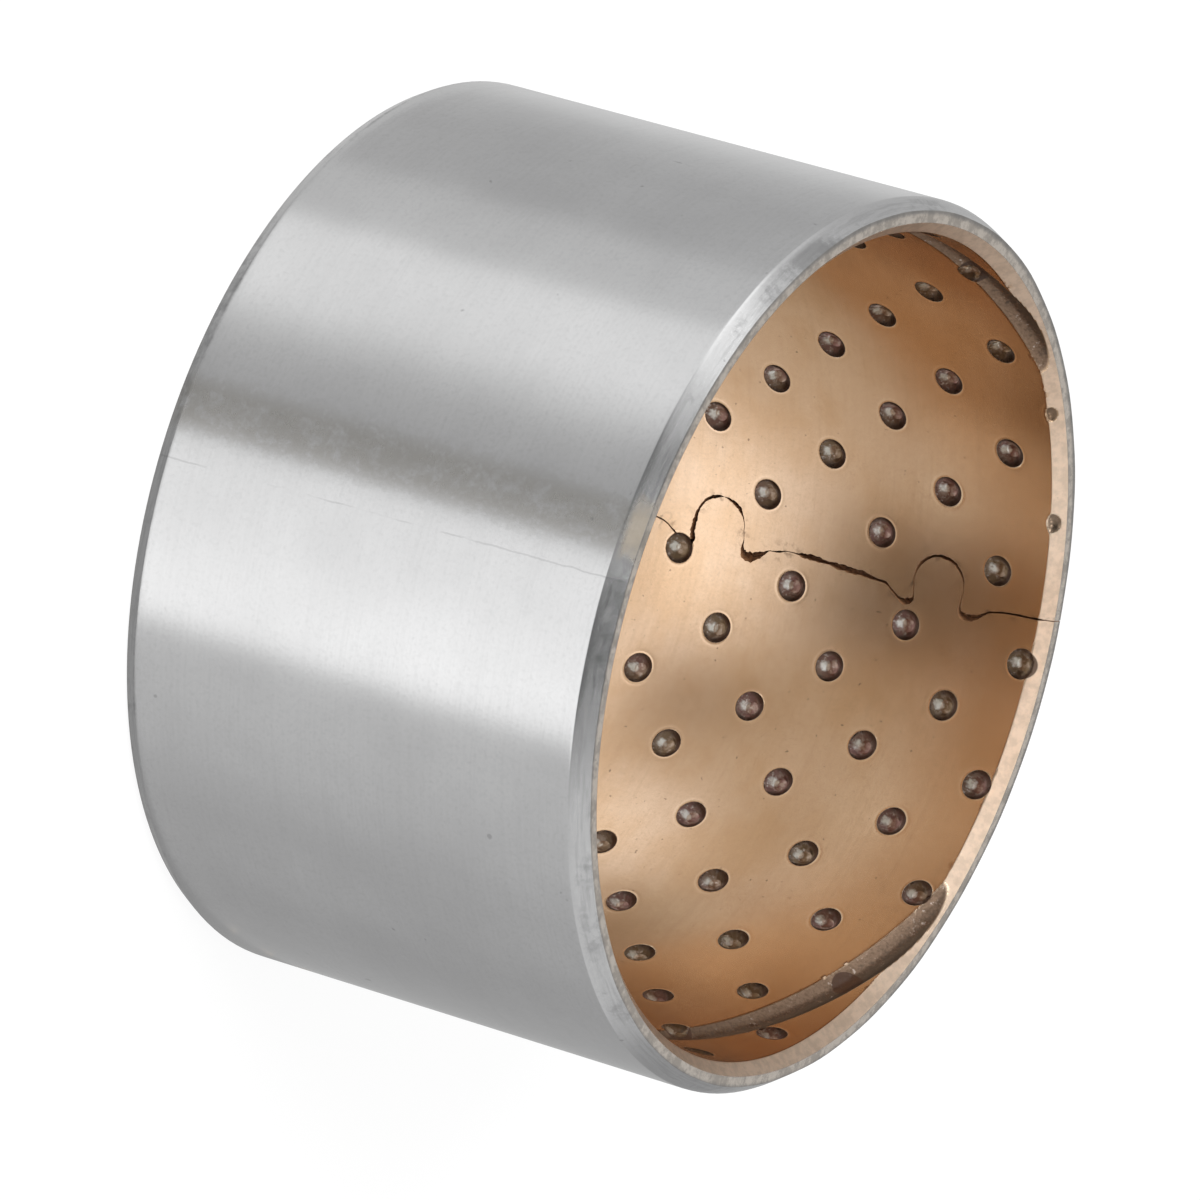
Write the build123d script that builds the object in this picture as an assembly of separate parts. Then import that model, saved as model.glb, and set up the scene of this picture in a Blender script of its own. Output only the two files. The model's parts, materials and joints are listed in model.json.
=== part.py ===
"""Wrapped bimetal plain bush with graphite-filled pockets.

The bush is rolled up from one flat strip: steel with a bronze layer bonded to it, the
bronze inside.  The two ends of the strip meet at a clinch joint, where two round-headed
tabs on one end are closed into sockets in the other.  The bronze carries staggered rows of
pockets, each part filled with graphite, and one grease groove in a slanting loop.

Frame: the axis of the bush is +Z, its lower end face lies on z = 0 and the joint is at +X.
Angles run from the joint about +Z, so that +Y is "onwards" at the joint.  The tabs belong
to the end of the strip on the -Y side and point towards +Y.  Lengths are in millimetres.
"""
from build123d import *

import os
from math import atan, ceil, cos, degrees, pi, radians, sin

# ---- the rolled strip -------------------------------------------------------------------
bore_diameter = 60.0
length = 38.5
steel_thickness = 1.6
lining_thickness = 0.9

# ---- end chamfers -----------------------------------------------------------------------
lead_chamfer_axial = 1.3        # outside edge of the upper end
lead_chamfer_radial = 0.8
tail_chamfer_axial = 0.9        # outside edge of the lower end
tail_chamfer_radial = 0.5

# ---- clinch joint; "onwards" is round the strip from the joint line -----------------------
tab_pitch = 18.8                # two tabs, evenly about mid-length
head_radius = 2.12
head_centre = 0.58              # centre of the round head, onwards of the joint line
neck_half_width = 1.92
notch_depth = 1.3               # relief on each side of a neck, back from the joint line
notch_reach = 5.0               # where its long flank meets the joint line
line_gap = 0.35                 # open width of the joint away from the tabs
head_gap = 0.28                 # beyond the crown of a tab
side_gap = 0.14                 # beside its neck
notch_gap = 0.45                # at the bottom of a relief

# ---- pockets ----------------------------------------------------------------------------
pocket_width = 2.2
pocket_floor = 0.3              # bronze left under a pocket
pocket_sides = 6                # round on the bush, six-sided here to keep the facets few
row_pitch = 4.87                # from row to row, round the strip
pocket_pitch = 9.96             # along a row; every other row is shifted by half of it
pattern_slant = 2.5             # degrees by which the pressed pattern is out of square
first_row = 3.0                 # from the joint line to a pocket of the first row
first_pocket = 4.8              # from the upper end to the same pocket
fill_recess = 0.15              # how far the graphite lies below the bore

# ---- grease groove ----------------------------------------------------------------------
groove_width = 2.4              # square to the plane of its loop
groove_floor = 0.45             # bronze left under the groove
groove_middle = 7.6             # middle of the loop, below the upper end
groove_rise = 8.6               # from the middle of the loop to its top, at the joint

# ---- worked out from the above ----------------------------------------------------------
bore_radius = bore_diameter / 2
bond_radius = bore_radius + lining_thickness
outer_radius = bond_radius + steel_thickness
middle_radius = (bore_radius + outer_radius) / 2
bore_chamfer = lining_thickness   # at 45 degrees, right through the bronze
pocket_depth = lining_thickness - pocket_floor
groove_depth = lining_thickness - groove_floor
strip_length = 2 * pi * middle_radius
overrun = 1.0                   # how far a cutting tool passes beyond what it cuts


def turned(*corners):
    """A solid of revolution about Z, from the corners (radius, height) of its section.

    It is turned from the side away from the joint, so that no seam runs through the tabs.
    """
    section = make_face(Polyline(*corners, close=True))
    return Rot(0, 0, 180) * revolve(Plane.XZ * section, Axis.Z)


def steel_ring():
    """The backing before the joint is cut: a ring with both of its outside edges chamfered."""
    return turned(
        (bond_radius, 0),
        (outer_radius - tail_chamfer_radial, 0),
        (outer_radius, tail_chamfer_axial),
        (outer_radius, length - lead_chamfer_axial),
        (outer_radius - lead_chamfer_radial, length),
        (bond_radius, length),
    )


def lining_ring():
    """The bronze before it is cut: a thin ring, chamfered inside at both ends."""
    return turned(
        (bore_radius, bore_chamfer),
        (bond_radius, 0),
        (bond_radius, length),
        (bore_radius, length - bore_chamfer),
    )


def strip_end(line, relief, neck, crown_radius, crown_centre):
    """The edge of one end of the strip, from below upwards, as (onwards, height) lines and arcs.

    line is where the edge lies away from the tabs, and relief how deep its notches reach.
    """
    side = [(line, notch_reach), (-relief, neck), (crown_centre, crown_radius)]
    crown = crown_centre + crown_radius
    chain = []
    corner = (line, -overrun)
    for middle in (length / 2 - tab_pitch / 2, length / 2 + tab_pitch / 2):
        low = [(onwards, middle - off) for onwards, off in side]
        high = [(onwards, middle + off) for onwards, off in reversed(side)]
        chain.append(Polyline(corner, *low))
        chain.append(ThreePointArc(low[-1], (crown, middle), high[0]))
        chain.append(Polyline(*high))
        corner = high[-1]
    return chain + [Line(corner, (line, length + overrun))]


def joint_gap():
    """The open gap of the clinch joint, as a tool that passes through the whole wall."""
    half = line_gap / 2
    swell = head_gap / 2
    tabs = strip_end(-half, notch_depth, neck_half_width, head_radius, head_centre)
    sockets = strip_end(
        half, notch_depth - notch_gap, neck_half_width + side_gap,
        head_radius + swell, head_centre + swell,
    )
    ends = [Line((-half, level), (half, level)) for level in (-overrun, length + overrun)]
    outline = make_face(tabs + sockets + ends)
    depth = outer_radius - bore_radius + 2 * overrun
    return extrude(Plane.YZ.offset(bore_radius - overrun) * outline, depth)


def grease_groove():
    """The groove's tool: a slice of a round bar, between two planes slanted as the loop is."""
    bar = Rot(0, 0, 180) * Cylinder(bore_radius + groove_depth, 2 * length)
    slab = Box(4 * outer_radius, 4 * outer_radius, groove_width)
    tilt = degrees(atan(groove_rise / bore_radius))
    return Pos(0, 0, length - groove_middle) * (bar & Rot(0, -tilt, 0) * slab)


def in_groove(angle, height):
    """Whether a place on the bore, its angle in radians, lies between the groove's two edges."""
    middle = length - groove_middle + groove_rise * cos(angle)
    return abs(height - middle) < groove_width / 2


def pocket_places():
    """Where the pockets lie, as (degrees about the axis, height).

    Those that would come out on the joint line, on a chamfer or in the groove are left out.
    """
    slant = radians(pattern_slant)
    clear = pocket_width / 2 + line_gap / 2
    rows = range(-1, ceil(strip_length / row_pitch) + 1)
    steps = range(-1, ceil(length / pocket_pitch) + 3)
    places = []
    for row in rows:
        for step in steps:
            along = (step + row % 2 / 2) * pocket_pitch
            across = row * row_pitch
            onwards = first_row + across * cos(slant) + along * sin(slant)
            depth = first_pocket - across * sin(slant) + along * cos(slant)
            angle = onwards / middle_radius
            in_strip = clear < onwards < strip_length - clear
            on_bore = bore_chamfer < depth < length - bore_chamfer
            if in_strip and on_bore and not in_groove(angle, length - depth):
                places.append((degrees(angle), length - depth))
    return places


def pocket_cone(start):
    """One pocket at the joint line, from the radius start outwards to the pocket's bottom."""
    tip = bore_radius + pocket_depth
    half_width = pocket_width / 2 * (tip - start) / pocket_depth
    mouth = RegularPolygon(half_width, pocket_sides, major_radius=False, rotation=30)
    return loft([(Plane.YZ.offset(start) * mouth).face(), Vertex(tip, 0, 0)])


def spread(tool):
    """Copies of a tool, one at the place of each pocket."""
    return [Pos(0, 0, height) * Rot(0, 0, angle) * tool for angle, height in pocket_places()]


def save(shape, name):
    """Write one node of the bush."""
    shape.label = name
    export_step(shape, f"parts/{name}.step")


def main():
    os.makedirs("parts", exist_ok=True)
    gap = joint_gap()
    lining = lining_ring() - gap - grease_groove()
    save(steel_ring() - gap, "steel_backing")
    save(lining - spread(pocket_cone(bore_radius - overrun)), "bronze_lining")
    save(lining & Compound(spread(pocket_cone(bore_radius + fill_recess))), "graphite_plugs")


main()
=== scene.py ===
"""Dresses a wrapped bimetal bush: a turned steel backing, a bored bronze lining with its
clinch joint, pockets and grease groove, and the graphite in the pockets.

The axis of the bush is +Z, its lower end is on z = 0 and the joint is at +X.  Lengths are in
millimetres inside the functions and become metres where a mesh is made.
"""
import json
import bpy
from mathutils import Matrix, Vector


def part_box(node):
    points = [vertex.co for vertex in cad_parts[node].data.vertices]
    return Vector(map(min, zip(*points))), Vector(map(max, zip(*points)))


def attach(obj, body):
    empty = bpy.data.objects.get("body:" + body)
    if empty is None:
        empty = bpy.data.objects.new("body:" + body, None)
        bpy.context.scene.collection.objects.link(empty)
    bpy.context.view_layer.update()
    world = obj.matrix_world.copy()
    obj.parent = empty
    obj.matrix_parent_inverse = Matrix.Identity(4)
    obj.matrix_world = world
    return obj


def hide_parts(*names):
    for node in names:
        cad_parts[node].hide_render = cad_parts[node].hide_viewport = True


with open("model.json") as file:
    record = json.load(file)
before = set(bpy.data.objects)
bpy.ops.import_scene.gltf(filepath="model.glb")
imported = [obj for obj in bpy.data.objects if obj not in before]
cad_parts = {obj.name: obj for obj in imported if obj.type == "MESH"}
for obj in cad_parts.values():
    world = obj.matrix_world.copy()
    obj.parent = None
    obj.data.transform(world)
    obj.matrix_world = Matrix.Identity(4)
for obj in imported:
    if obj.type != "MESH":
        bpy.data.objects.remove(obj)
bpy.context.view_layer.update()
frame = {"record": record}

from types import SimpleNamespace

import bpy
import numpy as np
from bpy.props import FloatProperty, FloatVectorProperty, PointerProperty
from mathutils import Matrix
from mathutils.geometry import delaunay_2d_cdt

bl_info = {
    "name": "Wrapped bimetal bush",
    "version": (1, 0, 0),
    "blender": (4, 5, 0),
    "location": "View3D > Sidebar > Bush",
    "description": "Steel backing, bronze lining and graphite of a wrapped plain bush",
    "category": "Object",
}

MM = 0.001
NUDGE = 0.004   # over which slopes are taken
FADE = 0.08     # the depth over which the groove and the pits take on their finish
TURNED = [0, 3, 2, 1]   # the corners of a quad that faces the other way


# ---- sizes and colours ------------------------------------------------------------------
def mount_size(name, key):
    """A size of one of the record's mounts."""
    return {m["name"]: m["dims"] for m in frame["record"]["mounts"]}[name][key]


def length_of(name, description, default):
    """A length property, its default given in millimetres."""
    return FloatProperty(name=name, description=description, default=default * MM,
                         precision=5, unit="LENGTH", subtype="DISTANCE")


def colour_of(name, description, default):
    """A linear colour property."""
    return FloatVectorProperty(name=name, description=description, default=default,
                               size=3, min=0.0, max=1.0, subtype="COLOR")


def number_of(name, description, default, top=1.0):
    """A plain number property."""
    return FloatProperty(name=name, description=description, default=default, min=0.0, max=top)


class BushSizes(bpy.types.PropertyGroup):
    """The rolled strip and its chamfers."""

    bore_radius: length_of("Bore radius", "Inside of the bronze", mount_size("bore", "r_mm"))
    bond_radius: length_of("Bond radius", "Outside of the bronze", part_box("bronze_lining")[1].y / MM)
    outer_radius: length_of("Outside radius", "Of the steel", mount_size("outside", "r_mm"))
    length: length_of("Length", "Along the axis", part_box("steel_backing")[1].z / MM)
    lead_axial: length_of("Upper chamfer, axial", "Outside edge of the upper end", 1.3)
    lead_radial: length_of("Upper chamfer, radial", "Outside edge of the upper end", 0.8)
    tail_axial: length_of("Lower chamfer, axial", "Outside edge of the lower end", 0.9)
    tail_radial: length_of("Lower chamfer, radial", "Outside edge of the lower end", 0.5)
    bore_chamfer: length_of("Bore chamfer", "At 45 degrees, at both ends", 0.87)


class JointSizes(bpy.types.PropertyGroup):
    """The clinch joint."""

    tab_pitch: length_of("Tab pitch", "Between the middles of the two tabs", 18.9)
    tab_shift: length_of("Tab shift", "Of both tabs, towards the upper end", 0.35)
    head_radius: length_of("Head radius", "Of a tab's round head", 2.1)
    head_centre: length_of("Head centre", "Onwards of the joint line", 0.68)
    steel_gap: length_of("Gap in the steel", "Half its width", 0.03)


class PocketSizes(bpy.types.PropertyGroup):
    """The pressed pockets and their fill."""

    width: length_of("Pocket width", "Across the mouth", 2.25)
    depth: length_of("Pocket depth", "Below the bore", 0.62)
    row_pitch: length_of("Row pitch", "Between rows, round the strip", 4.87)
    pitch: length_of("Pocket pitch", "Between pockets of a row", 9.96)
    slant: FloatProperty(name="Slant", description="By which the pattern is out of square",
                         default=np.radians(2.5), subtype="ANGLE", unit="ROTATION")
    first_row: length_of("First row", "From the joint line", 3.0)
    first_pocket: length_of("First pocket", "Below the upper end", 4.8)
    fill_depth: length_of("Fill depth", "Of the graphite in a pocket's middle", 0.07)


class GrooveSizes(bpy.types.PropertyGroup):
    """The grease groove."""

    width: length_of("Groove width", "Across the groove", 2.6)
    depth: length_of("Groove depth", "Below the bore", 0.68)
    middle: length_of("Loop middle", "Below the upper end", 7.6)
    rise: length_of("Loop rise", "From its middle to its top, before the run-out", 8.6)
    run_out: length_of("Run-out", "Lifts the top, so that it leaves the upper end", 3.0)


class FinishColours(bpy.types.PropertyGroup):
    """The colours of the finishes."""

    steel: colour_of("Steel", "Ground backing", (0.62, 0.62, 0.622))
    steel_smear: colour_of("Smeared steel", "A rubbed strip along it", (0.37, 0.355, 0.325))
    bronze_smear: colour_of("Bronze on steel", "Smeared on the chamfer", (0.66, 0.54, 0.39))
    steel_land: colour_of("Steel end face", "Stained by the bronze", (0.63, 0.57, 0.505))
    bronze: colour_of("Bronze", "Bored lining", (0.66, 0.445, 0.275))
    bronze_rub: colour_of("Rubbed bronze", "Paler streaks", (0.73, 0.53, 0.37))
    # Painted light: a paler bronze laid on in soft patches towards the upper end, in place of brighter
    # reflections.
    bronze_pale: colour_of("Pale bronze", "Towards the upper end", (1.0, 0.8, 0.6))
    bronze_cut: colour_of("Cut bronze", "Chamfers", (0.72, 0.56, 0.44))
    # Brown of the groove: brown stain in it, and also the colour of painted shade on its upper flank.
    groove_stain_and_shade: colour_of("Brown of the groove", "Its stained parts", (0.09, 0.055, 0.035))
    groove_grey: colour_of("Grey of the groove", "Its bare parts", (0.22, 0.145, 0.10))
    graphite: colour_of("Graphite", "Fill of the pockets", (0.23, 0.16, 0.10))
    graphite_warm: colour_of("Warm graphite", "Browner pockets", (0.24, 0.135, 0.115))
    graphite_gleam: colour_of("Gleam of graphite", "Polished grains", (0.58, 0.46, 0.38))
    # Painted glints: the brightest grains, in the groove and in the pockets.
    painted_glint: colour_of("Sparkle", "The brightest grains", (0.95, 0.86, 0.80))
    # Residue: a real oil stain beside the joint, and also the colour of painted shade at the pockets'
    # mouths and in the graphite.
    residue: colour_of("Residue", "Old oil round the pockets", (0.045, 0.017, 0.007))
    joint_oil: colour_of("Joint oil", "Dried oil in the joint", (0.27, 0.135, 0.065))


class StudioLevels(bpy.types.PropertyGroup):
    """The light."""

    floor: colour_of("Floor", "Pale floor", (0.9, 0.9, 0.9))
    sky: number_of("Sky", "Light from all round on dull surfaces", 0.75, 4.0)
    lamp: number_of("Lamp", "Power of the soft box above, in watts", 6.0, 1000.0)
    shade: number_of("Shade", "How much of the floor's shadow is kept", 0.15)


GROUPS = {
    "bush_sizes": BushSizes,
    "bush_joint": JointSizes,
    "bush_pockets": PocketSizes,
    "bush_groove": GrooveSizes,
    "bush_colours": FinishColours,
    "bush_studio": StudioLevels,
}


def in_mm(group):
    """The numbers of a property group, with its lengths turned into millimetres."""
    return SimpleNamespace(**{
        p.identifier: getattr(group, p.identifier) / (MM if p.unit == "LENGTH" else 1)
        for p in group.bl_rna.properties if p.type == "FLOAT"})


def bush():
    """All the sizes, in millimetres: the strip's own, those of the joint, pockets and
    groove, and the length of one turn of the bore."""
    scene = bpy.context.scene
    b = in_mm(scene.bush_sizes)
    b.joint, b.pocket, b.groove = (
        in_mm(group) for group in (scene.bush_joint, scene.bush_pockets, scene.bush_groove))
    b.turn = 2 * np.pi * b.bore_radius
    return b


# ---- the joint --------------------------------------------------------------------------
def smooth_line(knots, steps):
    """A curve through the knots: between two, the cubic whose slope at each is half the
    chord between that knot's neighbours."""
    line = np.vstack([2 * knots[:1] - knots[1:2], knots, 2 * knots[-1:] - knots[-2:-1]])
    before, here, after, beyond = line[:-3], line[1:-2], line[2:-1], line[3:]
    u = (np.arange(steps) / steps)[None, :, None]
    first = (after - before)[:, None]
    second = (2 * before - 5 * here + 4 * after - beyond)[:, None]
    third = (3 * here - before - 3 * after + beyond)[:, None]
    curve = here[:, None] + u * (first + u * (second + u * third)) / 2
    return np.vstack([curve.reshape(-1, knots.shape[1]), knots[-1:]])


# Each row is a point on the middle of the joint's gap: onwards, along from the tab's
# middle, half the gap.  The hollow above a tab comes first, then the one below it.
HOLLOWS_UPPER_TAB = (
    [(-0.22, 4.65, 0.07), (-0.50, 4.15, 0.09), (-0.85, 3.55, 0.18), (-1.13, 2.80, 0.27),
     (-0.92, 2.22, 0.22), (-0.50, 2.03, 0.08), (0.10, 2.05, 0.03)],
    [(0.10, -2.02, 0.03), (-0.55, -1.92, 0.05), (-0.93, -1.98, 0.16), (-1.20, -2.45, 0.25),
     (-1.08, -3.02, 0.13), (-0.85, -3.45, 0.09), (-0.58, -3.85, 0.08), (-0.27, -4.32, 0.10)],
)
HOLLOWS_LOWER_TAB = (
    [(-0.38, 4.45, 0.04), (-0.62, 4.10, 0.13), (-0.98, 3.58, 0.27), (-1.20, 2.88, 0.37),
     (-1.02, 2.36, 0.28), (-0.62, 2.20, 0.10), (-0.05, 2.22, 0.03)],
    [(-0.02, -2.20, 0.19), (-0.58, -2.16, 0.20), (-1.08, -2.05, 0.21), (-1.45, -2.42, 0.26),
     (-1.30, -3.05, 0.18), (-1.05, -3.45, 0.10), (-0.78, -3.88, 0.06), (-0.30, -4.83, 0.05)],
)
HEAD_GAPS_UPPER_TAB = (
    0.03, 0.04, 0.09, 0.12, 0.12, 0.13, 0.15, 0.09, 0.10, 0.12, 0.11, 0.07, 0.03)
HEAD_GAPS_LOWER_TAB = (
    0.03, 0.03, 0.06, 0.15, 0.14, 0.10, 0.02, 0.12, 0.13, 0.10, 0.09, 0.12, 0.16)


def tab_middle(b, hollows, head_gaps, centre):
    """The gap round one tab: its hollows, and between them the head's arc, the radius times
    the cosine and sine of the turn."""
    turn = np.radians(np.arange(90, -91, -15))
    arc = np.column_stack([
        centre[0] + b.joint.head_radius * np.cos(turn),
        b.joint.head_radius * np.sin(turn), head_gaps])
    return np.vstack([hollows[0], arc, hollows[1]]) + (0, centre[1], 0)


def joint_middle(b):
    """The middle of the joint's gap, from the upper end down: onwards, height, half width."""
    middle, half_pitch = b.length / 2 + b.joint.tab_shift, b.joint.tab_pitch / 2
    upper = tab_middle(b, HOLLOWS_UPPER_TAB, HEAD_GAPS_UPPER_TAB,
                       (b.joint.head_centre, middle + half_pitch))
    lower = tab_middle(b, HOLLOWS_LOWER_TAB, HEAD_GAPS_LOWER_TAB,
                       (b.joint.head_centre - 0.16, middle - half_pitch))
    above = [(0.24, b.length, 0.03), (0.23, 38.0, 0.035), (0.21, 37.5, 0.08),
             (0.14, 36.4, 0.09), (0.05, 35.2, 0.09)]
    between = [(-0.20, 23.7, 0.12), (-0.07, 22.5, 0.2), (-0.09, 21.6, 0.23),
               (-0.06, 20.6, 0.22), (0.0, 19.5, 0.14), (0.01, 18.3, 0.22), (0.0, 17.5, 0.17),
               (0.0, 17.0, 0.05), (-0.04, 16.1, 0.03), (-0.25, 15.4, 0.08),
               (-0.31, 15.0, 0.04)]
    below = [(-0.15, 3.9, 0.06), (-0.06, 2.4, 0.09), (-0.02, 1.2, 0.08), (0.0, 0.5, 0.03),
             (0.0, 0.0, 0.03)]
    return np.vstack([above, upper, between, lower, below])


def joint_edges(b, half_gap=None):
    """The tabs' edge and the sockets' edge, from the upper end down, as onwards and height:
    the middle of the gap moved square to itself by half the gap, and a little ragged by
    three sines of the distance along the line."""
    knots = smooth_line(joint_middle(b), 4)
    line, width = knots[:, :2], knots[:, 2:]
    ahead = np.gradient(line, axis=0)
    ahead /= np.linalg.norm(ahead, axis=1)[:, None]
    square = np.column_stack([-ahead[:, 1], ahead[:, 0]])
    square[[0, -1]] = (1, 0)
    if half_gap is not None:
        return line - square * half_gap, line + square * half_gap
    run = np.cumsum(np.r_[0, np.linalg.norm(np.diff(line, axis=0), axis=1)])
    ragged = sum(np.sin(run * k + 2 * k) for k in (4.1, 9.7, 17.3))[:, None] / 3
    tabs = line - square * width * (1 + 0.35 * ragged)
    sockets = line + square * width * (1 - 0.45 * ragged[::-1])
    for edge in (tabs, sockets):
        edge[[0, -1], 1] = (b.length, 0)
    return tabs, sockets


def strip_outline(b, edges, radius, step):
    """The closed outline of the strip laid flat at a radius, as run (the radius times the
    angle) and height, to the left.  The joint is cut straight through the wall, so the sine
    of an edge point's angle, times the radius, is the same at every radius."""
    def flat(edge):
        across = b.bore_radius * np.sin(edge[:, 0] / b.bore_radius)
        return np.column_stack([radius * np.arcsin(across / radius), edge[:, 1]])

    tabs, sockets = (flat(edge) for edge in edges)
    tabs[:, 0] += 2 * np.pi * radius
    share = np.linspace(0, 1, int(b.turn / step))[1:-1, None]
    bottom = sockets[-1] + (tabs[-1] - sockets[-1]) * share
    top = tabs[0] + (sockets[0] - tabs[0]) * share
    return np.vstack([sockets[-1:], bottom, tabs[::-1], top, sockets[:-1]])


# ---- the surface of the bore ------------------------------------------------------------
# Pits that the upper chamfer cuts through: run round the bore, and below the upper end.
CUT_PITS = [(7.5, 0.06), (16.45, -0.06)]


def pocket_places(b):
    """Run and height of each pocket: rows along the bush, shifted by half a pitch in turn,
    the whole turned by its slant."""
    p = b.pocket
    middle_radius = (b.bore_radius + b.outer_radius) / 2
    row, step = np.meshgrid(np.arange(-1, 43), np.arange(-1, 8), indexing="ij")
    along = (step + row % 2 / 2) * p.pitch
    across = row * p.row_pitch
    onwards = p.first_row + across * np.cos(p.slant) + along * np.sin(p.slant)
    depth = p.first_pocket - across * np.sin(p.slant) + along * np.cos(p.slant)
    clear, highest, lowest = p.width / 2 + 0.15, -0.2, b.length - 0.45
    kept = (onwards > clear) & (onwards < 2 * np.pi * middle_radius - clear)
    kept &= (depth > highest) & (depth < lowest)
    run = onwards[kept] / middle_radius * b.bore_radius
    places = np.vstack([np.column_stack([run, depth[kept]]), CUT_PITS])
    places[:, 1] = b.length - places[:, 1]
    return places


def to_end(b, height):
    """The way to the nearer end of the bush."""
    return np.minimum(height, b.length - height)


def is_filled(b, places):
    """Whether a pocket lies clear enough of the end chamfers to keep its graphite."""
    return to_end(b, places[:, 1]) > b.bore_chamfer + 0.1


def nearest_pocket(b, places, run, height):
    """How far each point lies from the middle of the nearest pocket, going round the short
    way, and which pocket that is; in batches, to save memory."""
    distance, which = np.zeros(run.shape), np.zeros(run.shape, int)
    batch = 20000
    for start in range(0, len(run), batch):
        part = slice(start, start + batch)
        aside = (run[part, None] - places[:, 0] + b.turn / 2) % b.turn - b.turn / 2
        apart = np.hypot(aside, height[part, None] - places[:, 1])
        which[part], distance[part] = apart.argmin(1), apart.min(1)
    return distance, which


# Patches of painted light on the bronze, laid on as a paler colour: angle and height, half width in
# each, share.
PAINTED_LIGHT_PATCHES = [(-43, 34, 18, 7.5, 1.0), (18, 34, 10, 7, 1.0), (-62, 23, 9, 6, 0.7)]


def patches_at(angle, height, patches):
    """A sum of soft patches on the bore: each is the exponential of less the fourth powers
    of the ways aside and up, in half widths."""
    return sum(more * np.exp(-((angle - at) / wide) ** 4 - ((height - up) / tall) ** 4)
               for at, up, wide, tall, more in patches)


def groove_middle(b, run):
    """Height and slope of the groove's middle: a cosine of the angle, lifted near the joint
    by the square of what the cosine has above a small share."""
    angle, share = run / b.bore_radius, 0.1
    over = np.maximum(np.cos(angle) - share, 0)
    height = b.length - b.groove.middle + b.groove.rise * np.cos(angle)
    height = height + b.groove.run_out * over ** 2
    slope = -(b.groove.rise + 2 * b.groove.run_out * over) * np.sin(angle)
    return height, slope / b.bore_radius


def off_groove(b, run, height):
    """Signed distance from the groove's middle, square to it."""
    middle, slope = groove_middle(b, run)
    return (height - middle) / np.hypot(1, slope)


def rounded(depth, soft):
    """The larger of a depth and nothing, its corner rounded: half the sum of the depth and
    the root of its square and the softness squared."""
    return (depth + np.sqrt(depth * depth + soft * soft)) / 2


def deeper(first, second, soft):
    """The larger of two depths, with the crease between them rounded."""
    return second + rounded(first - second, soft)


def ball_dent(b, distance):
    """Depth of a dent pressed by a ball: the root of the ball's radius squared less the
    distance squared, less the height of the ball's centre."""
    half = b.pocket.width / 2
    ball = (half ** 2 + b.pocket.depth ** 2) / (2 * b.pocket.depth)
    reach = np.minimum(distance, 0.999 * ball)
    return np.sqrt(ball ** 2 - reach ** 2) - ball + b.pocket.depth


def chamfer_depth(b, height):
    """A 45-degree cone at each end."""
    return b.bore_chamfer - to_end(b, height)


def groove_depth(b, run, height):
    """A parabola across the groove's middle line."""
    across = off_groove(b, run, height) / (b.groove.width / 2)
    return b.groove.depth * (1 - np.minimum(np.abs(across), 3) ** 2)


def bore_depth(b, places, run, height):
    """How far the bronze lies below the bore: the deepest of the chamfers, the groove and
    the nearest pocket, less a low lip pressed up round it."""
    distance, _ = nearest_pocket(b, places, run, height)
    share = distance / (b.pocket.width / 2)
    lip_height, lip_at, lip_half, least_wall = 0.006, 1.15, 0.12, 0.01
    lip = lip_height * np.exp(-((share - lip_at) / lip_half) ** 2)
    depth = rounded(ball_dent(b, distance), 0.03)
    depth = deeper(depth, rounded(groove_depth(b, run, height), 0.05), 0.04)
    depth = deeper(depth, rounded(chamfer_depth(b, height), 0.04), 0.03)
    return np.minimum(depth - lip, b.bond_radius - b.bore_radius - least_wall)


# ---- points on a sheet ------------------------------------------------------------------
def crossed(first, second):
    """Each of the first numbers with each of the second ones, as a grid of pairs."""
    return np.stack(np.meshgrid(first, second, indexing="ij"), -1)


def even_grid(b, radius, step_run, step_height, margin):
    """A staggered grid over the whole strip, clear of its ends by a margin."""
    turns = int(2 * np.pi * radius / step_run)
    rows = int((b.length - 2 * margin) / step_height)
    run = (np.arange(turns) + 0.5) / turns * 2 * np.pi * radius
    height = np.linspace(margin, b.length - margin, rows + 1)
    grid = crossed(run, height)
    grid[:, 1::2, 0] += np.pi * radius / turns
    return grid.reshape(-1, 2)


def inside(points, loop):
    """Which points lie inside the closed loop: a line from each one onwards crosses the
    loop an odd number of times."""
    start, end = loop, np.roll(loop, -1, 0)
    x, y = points[:, :1], points[:, 1:]
    crosses = (start[:, 1] > y) != (end[:, 1] > y)
    rise = np.where(end[:, 1] == start[:, 1], 1, end[:, 1] - start[:, 1])
    at = start[:, 0] + (y - start[:, 1]) * (end[:, 0] - start[:, 0]) / rise
    return (crosses & (at > x)).sum(1) % 2 == 1


def off_line(points, line):
    """How far each point lies from the nearest stretch of a line of straight pieces."""
    start, piece = line[:-1], np.diff(line, axis=0)
    from_start = points[:, None] - start[None]
    share = (from_start * piece).sum(2) / (piece * piece).sum(1)
    foot = from_start - np.clip(share, 0, 1)[..., None] * piece
    return np.linalg.norm(foot, axis=2).min(1)


def within_strip(points, loop, radius, margin):
    """The points inside the outline and clear of it by a margin.  Those near the joint are
    also tried a turn back and a turn on, because the tabs reach past the turn."""
    turn = 2 * np.pi * radius
    by_joint, reach = 5, 3
    low, high = loop[:, 1].min(), loop[:, 1].max()
    points = points[(points[:, 1] > low + margin) & (points[:, 1] < high - margin)] % (turn, high)
    near = (points[:, 0] < by_joint) | (points[:, 0] > turn - by_joint)
    close = np.vstack([points[near] - (turn, 0), points[near], points[near] + (turn, 0)])
    close = close[(close[:, 0] > -reach) & (close[:, 0] < turn + reach)]
    close = close[inside(close, loop)]
    close = close[off_line(close, np.vstack([loop, loop[:1]])) > margin]
    return np.vstack([points[~near], close])


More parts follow.
